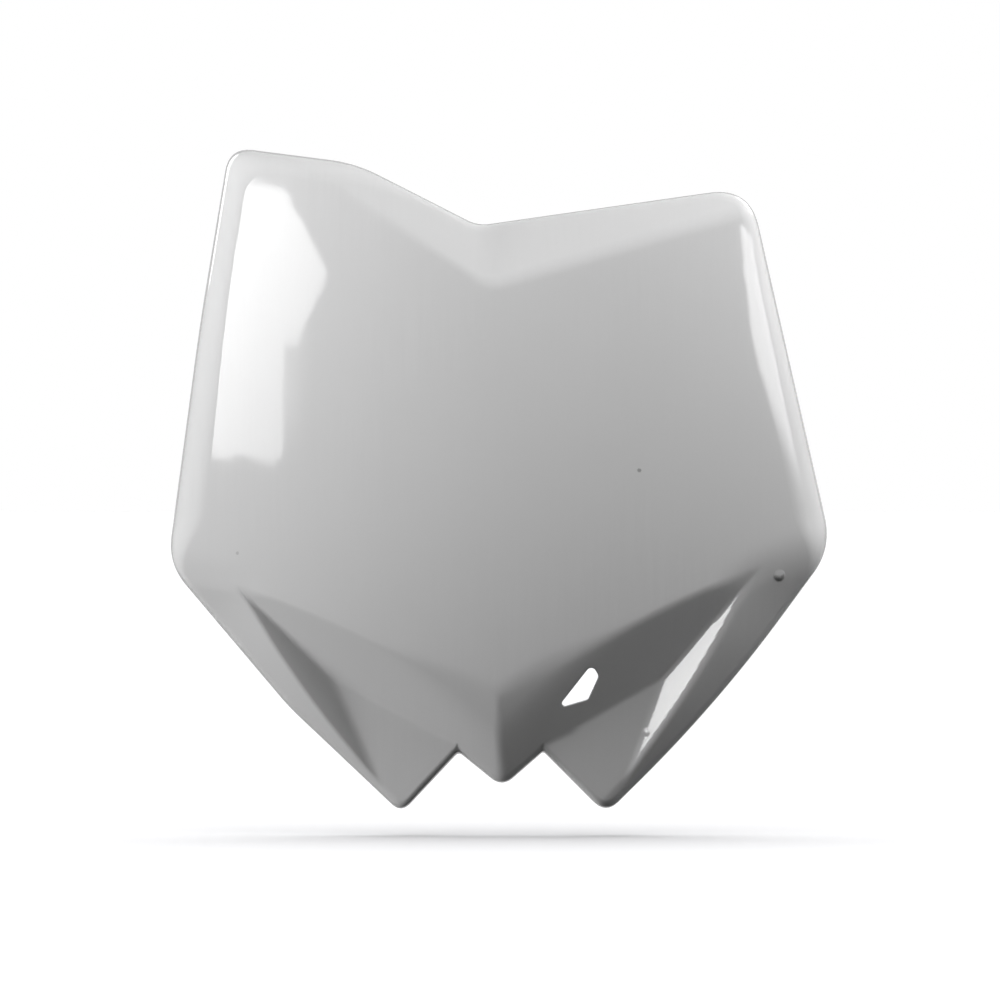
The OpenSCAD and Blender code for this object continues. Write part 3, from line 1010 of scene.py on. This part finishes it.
def bounce(px, py):
    """The place on the outer face under a point of the 1000 x 1000 view, and where the view ray goes from it."""
    eye = np.array(cam.location)
    ray = np.array([(px - 500) / 1000 * VIEW_W / CAM_D, 1.0, (500 - py) / 1000 * VIEW_W / CAM_D])
    t = CAM_D
    for _ in range(30):
        q = eye + ray * t
        x, z = np.array([q[0] * 1000]), np.array([q[2] * 1000 + TAB_Z])
        t += float(face(x, z)[0]) / 1000 - TAB_Y / 1000 - q[1]
    gx, gz = slope(face, x, z)
    n = unit(np.array([gx[0], -1.0, gz[0]]))
    ray = unit(ray)
    return Vector(q), Vector(ray - 2 * (ray @ n) * n)


def glow_material(name, low, high, axis_from, axis_to, second=None):
    """Emission that goes from low to high between two places, and if asked is scaled along a second line."""
    global nt
    keep = nt
    m = bpy.data.materials.new(name)
    m.use_nodes = True
    nt = m.node_tree
    nt.nodes.clear()
    place = node("ShaderNodeTexCoord").outputs["Object"]

    def along(a, b, start, end, kind):
        a, b = Vector(a), Vector(b)
        off = node("ShaderNodeVectorMath", operation="SUBTRACT")
        put(off.inputs[0], place)
        off.inputs[1].default_value = a
        dot = node("ShaderNodeVectorMath", operation="DOT_PRODUCT")
        put(dot.inputs[0], off.outputs["Vector"])
        dot.inputs[1].default_value = (b - a) / (b - a).length_squared
        return ranged(dot.outputs["Value"], 0.0, 1.0, start, end, kind)

    power = along(axis_from, axis_to, low, high, "SMOOTHSTEP")
    if second is not None:
        power = math_("MULTIPLY", power, along(second[2], second[3], second[0], second[1], "LINEAR"))
    glow = node("ShaderNodeEmission")
    put(glow.inputs["Strength"], power)
    nt.links.new(glow.outputs[0], node("ShaderNodeOutputMaterial").inputs["Surface"])
    nt = keep
    return m


def card(name, corners, material):
    """Flat glowing card that only the gloss sees."""
    me = bpy.data.meshes.new(name)
    me.from_pydata([tuple(c) for c in corners], [], [tuple(range(len(corners)))])
    me.materials.append(material)
    ob = bpy.data.objects.new(name, me)
    scene.collection.objects.link(ob)
    ob.visible_camera = ob.visible_diffuse = ob.visible_shadow = ob.visible_transmission = False
    return ob


# softbox on the left: its outline is set by the edges of its mirror image
BOX = [(243, 179), (285, 190), (328, 272), (298, 343), (284, 345), (283, 455), (272, 465),
       (258, 462), (245, 455), (230, 460), (205, 455), (205, 300), (225, 176)]
aim = toward(-25, 4)
box_mid = LIGHT_MID + aim * 1.6
corners = []
for px, py in BOX:
    q, r = bounce(px, py)
    corners.append(q + r * ((box_mid - q).dot(aim) / r.dot(aim)))
q, r = bounce(300, 430)
low_end = q + r * ((box_mid - q).dot(aim) / r.dot(aim))
q, r = bounce(235, 230)
high_end = q + r * ((box_mid - q).dot(aim) / r.dot(aim))
left_card = card("left_card", corners, glow_material("left_glow", 5.4, 8.8, low_end, high_end))

# tall card on the right: weaker away from the viewer, and fading out downwards
turn = toward(62, 0)
across = Vector((turn.y, -turn.x, 0))
up = Vector((0, 0, 1))
right_mid = Vector((0.11, -0.01, 0)) + turn * 0.5
corners = [right_mid + across * u + up * v for u, v in (
    (-0.2, 0.06), (0.30, 0.06), (0.322, 0.10), (0.340, 0.129), (0.355, 0.153), (0.372, 0.21), (0.378, 0.25), (-0.2, 0.25))]
fade = up + across * 0.06
fade_from = right_mid + up * 0.09
right_card = card("right_card", corners, glow_material(
    "right_glow", 0.0, 7.6, fade_from, fade_from + fade * (0.065 / fade.length_squared),
    (0.4, 1.0, right_mid - across * 0.34, right_mid + across * 0.34)))

# card far out on the left, fading towards the viewer, which the steep side of the right flute mirrors
q, r = bounce(690, 655)
facet_mid = q + r * 2.4
u = Vector((r.y, -r.x, 0)).normalized()
v = r.cross(u)
corners = [facet_mid + u * a + v * b for a, b in ((-0.9, -0.26), (0.25, -0.26), (0.25, 0.26), (-0.9, 0.26))]
facet_card = card("facet_card", corners, glow_material(
    "facet_glow", 0.0, 12.0, facet_mid - up * 0.15, facet_mid - up * 0.02, (0.0, 1.0, facet_mid - u * 0.82, facet_mid - u * 0.05)))
# black flag that keeps that card out of the rolled left edge
aim = toward(-43, 0)
u = Vector((aim.y, -aim.x, 0))
flag_mid = Vector((-0.118, -0.01, 0.09)) + aim * 0.12
corners = [flag_mid + u * a + up * b for a, b in ((-0.026, -0.16), (0.026, -0.16), (0.026, 0.16), (-0.026, 0.16))]
flag = card("flag", corners, glow_material("flag_black", 0.0, 0.0, flag_mid, flag_mid + up))

# floor: plain and pale, just under the lower tips
FLOOR_Z = (-11 - TAB_Z) / 1000
floor_me = bpy.data.meshes.new("floor")
R = 90.0
floor_me.from_pydata([(-R, -R, FLOOR_Z), (R, -R, FLOOR_Z), (R, R, FLOOR_Z), (-R, R, FLOOR_Z)], [], [(0, 1, 2, 3)])
floor = bpy.data.objects.new("floor", floor_me)
scene.collection.objects.link(floor)
floor_mat = bpy.data.materials.new("floor_pale")
floor_mat.use_nodes = True
fb = floor_mat.node_tree.nodes["Principled BSDF"]
fb.inputs["Base Color"].default_value = (0.82, 0.82, 0.83, 1)
fb.inputs["Roughness"].default_value = 1.0
fb.inputs["Specular IOR Level"].default_value = 0.0
floor_me.materials.append(floor_mat)
floor.visible_diffuse = floor.visible_glossy = floor.visible_transmission = floor.visible_shadow = False

# lamp for the floor alone, wide and from above, which draws the soft shadow
only_floor = bpy.data.collections.new("floor_lit")
scene.collection.children.link(only_floor)
only_floor.objects.link(floor)
sun = bpy.data.lights.new("floor_lamp", "SUN")
sun.energy, sun.angle = 3.65, math.radians(105)
sun_ob = bpy.data.objects.new("floor_lamp", sun)
sun_ob.rotation_euler = (math.radians(4), 0, 0)
scene.collection.objects.link(sun_ob)
sun_ob.light_linking.receiver_collection = only_floor
# the soft lamps are for the board alone
only_board = bpy.data.collections.new("board_lit")
scene.collection.children.link(only_board)
only_board.objects.link(plate)
for ob in lamps:
    ob.light_linking.receiver_collection = only_board
